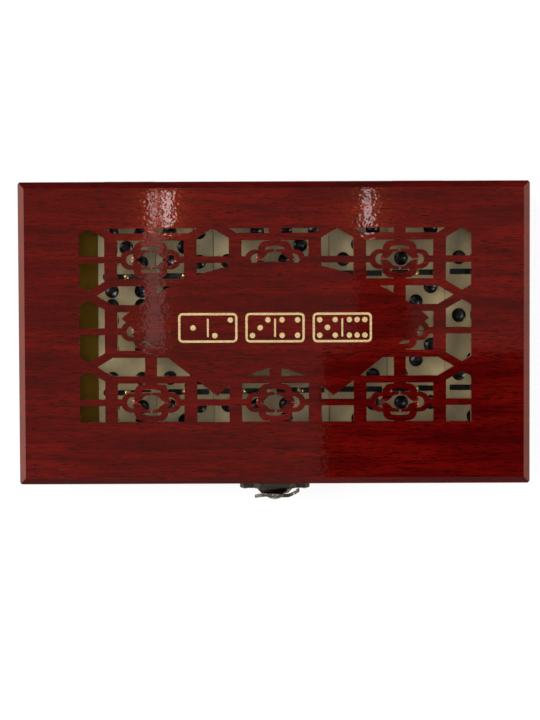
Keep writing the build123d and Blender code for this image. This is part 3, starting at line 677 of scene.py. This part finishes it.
def make_world():
    """White to the camera; for gloss, white at the horizon and a grey ceiling; else soft fill."""
    world = bpy.data.worlds.new("studio")
    bpy.context.scene.world = world
    world.use_nodes = True
    tree = world.node_tree
    tree.nodes.clear()
    path = node(tree, "LightPath")
    direction = node(tree, "TexCoord").outputs["Generated"]
    height = node(tree, "SeparateXYZ", None, {"Vector": direction}).outputs["Z"]
    reflected = ramp(tree, height, [(0.0, 1.0), (0.25, 0.9), (0.75, 0.23), (1.0, 0.18)])
    fill = mix(tree, path.outputs["Is Glossy Ray"], (0.42, 0.42, 0.42), reflected)
    colour = mix(tree, path.outputs["Is Camera Ray"], fill, (1, 1, 1))
    background = node(tree, "Background", None, {"Color": colour, "Strength": 1.0})
    output = node(tree, "OutputWorld")
    feed(tree, output.inputs["Surface"], background.outputs[0])


def area_light(name, location, side, power):
    """A square lamp that points at the box."""
    data = bpy.data.lights.new(name, "AREA")
    data.shape = "RECTANGLE"
    data.size = side
    data.size_y = side
    data.energy = power
    lamp = bpy.data.objects.new(name, data)
    bpy.context.scene.collection.objects.link(lamp)
    lamp.location = location
    lamp.rotation_euler = (-Vector(location)).to_track_quat("-Z", "Y").to_euler()
    return lamp


def card(name, centre, across, up, strength, colour=(1, 1, 1)):
    """A flat card that only reflections see: across and up are its half sides."""
    made, tree = bare_material(name)
    glow = node(tree, "Emission", None, {"Color": (*colour, 1), "Strength": strength})
    output = node(tree, "OutputMaterial")
    feed(tree, output.inputs["Surface"], glow.outputs[0])
    c, a, u = Vector(centre), Vector(across), Vector(up)
    sheet = studio_sheet(name, [c - a - u, c + a - u, c + a + u, c - a + u], made)
    sheet.visible_camera = False
    sheet.visible_diffuse = False
    sheet.visible_shadow = False
    sheet.visible_transmission = False


def wall_card(name, direction, strength, colour=(1, 1, 1)):
    """A low card beside the box, which the bevels and the walls reflect."""
    x, y = direction
    centre = (x * WALL_CARD_DISTANCE, y * WALL_CARD_DISTANCE, WALL_CARD_HEIGHT)
    across = (abs(y) * WALL_CARD_HALF_LENGTH, abs(x) * WALL_CARD_HALF_LENGTH, 0)
    card(name, centre, across, (0, 0, WALL_CARD_HALF_HEIGHT), strength, colour)


def make_camera():
    """The photo's view, nearly straight down."""
    data = bpy.data.cameras.new("camera")
    data.lens = CAMERA_LENS
    data.sensor_width = SENSOR
    data.clip_start = 0.01
    data.clip_end = 20
    camera = bpy.data.objects.new("camera", data)
    bpy.context.scene.collection.objects.link(camera)
    camera.location = CAMERA_PLACE
    camera.rotation_euler = [math.radians(angle) for angle in CAMERA_TURN]
    bpy.context.scene.camera = camera


def mirrored_card(name, x_range, y_range, strength, height=CEILING):
    """A card overhead whose image fills a field of the lid, in millimetres, seen from the camera."""
    _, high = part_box("lid_panel")
    camera_rise = CAMERA_PLACE.z - high.z
    reach = (camera_rise + height - high.z) / camera_rise
    centre_x, centre_y = sum(x_range) / 2 * MM, sum(y_range) / 2 * MM
    half_x = (x_range[1] - x_range[0]) / 2 * MM * reach
    half_y = (y_range[1] - y_range[0]) / 2 * MM * reach
    centre = (
        CAMERA_PLACE.x + (centre_x - CAMERA_PLACE.x) * reach,
        CAMERA_PLACE.y + (centre_y - CAMERA_PLACE.y) * reach,
        height,
    )
    card(name, centre, (half_x, 0, 0), (0, half_y, 0), strength)


def make_lights():
    """Lamps from above, cards for the lid's glare and dark zones, and low cards round the box."""
    area_light("key", (-0.75, 0.35, 1.15), 0.9, 14)
    area_light("fill", (0.85, -0.45, 1.1), 0.9, 8)
    overhead = area_light("overhead", (0, 0.05, 1.5), 0.3, 1.6)
    overhead.visible_glossy = False
    mirrored_card("left_strip", (-52.5, -50), (45, 61), 6.0)
    mirrored_card("left_strip_bright", (-46.5, -43.5), (45, 61), 10.0)
    mirrored_card("left_strip_tail", (-55, -47), (-7, 44), 0.9)
    mirrored_card("right_strip", (38.5, 41.5), (43, 61), 7.5)
    mirrored_card("dark_front", (21, 112), (-70, -8), 0.0)
    mirrored_card("dark_middle", (35, 58), (-8.5, 27), 0.03, CEILING - CARD_GAP)
    wall_card("left_wall_light", (LEFT, 0), 1.35, (1, 0.86, 0.80))
    wall_card("right_wall_light", (RIGHT, 0), 0.85, (1, 0.86, 0.76))
    wall_card("rear_dark", (0, 1), 0.05)
    wall_card("front_dark", (0, -1), 0.13)


make_box()
make_ornament()
make_tiles()
make_latch()
make_hinges()
make_floor()
make_world()
make_camera()
make_lights()
bpy.context.scene.view_settings.view_transform = "Standard"
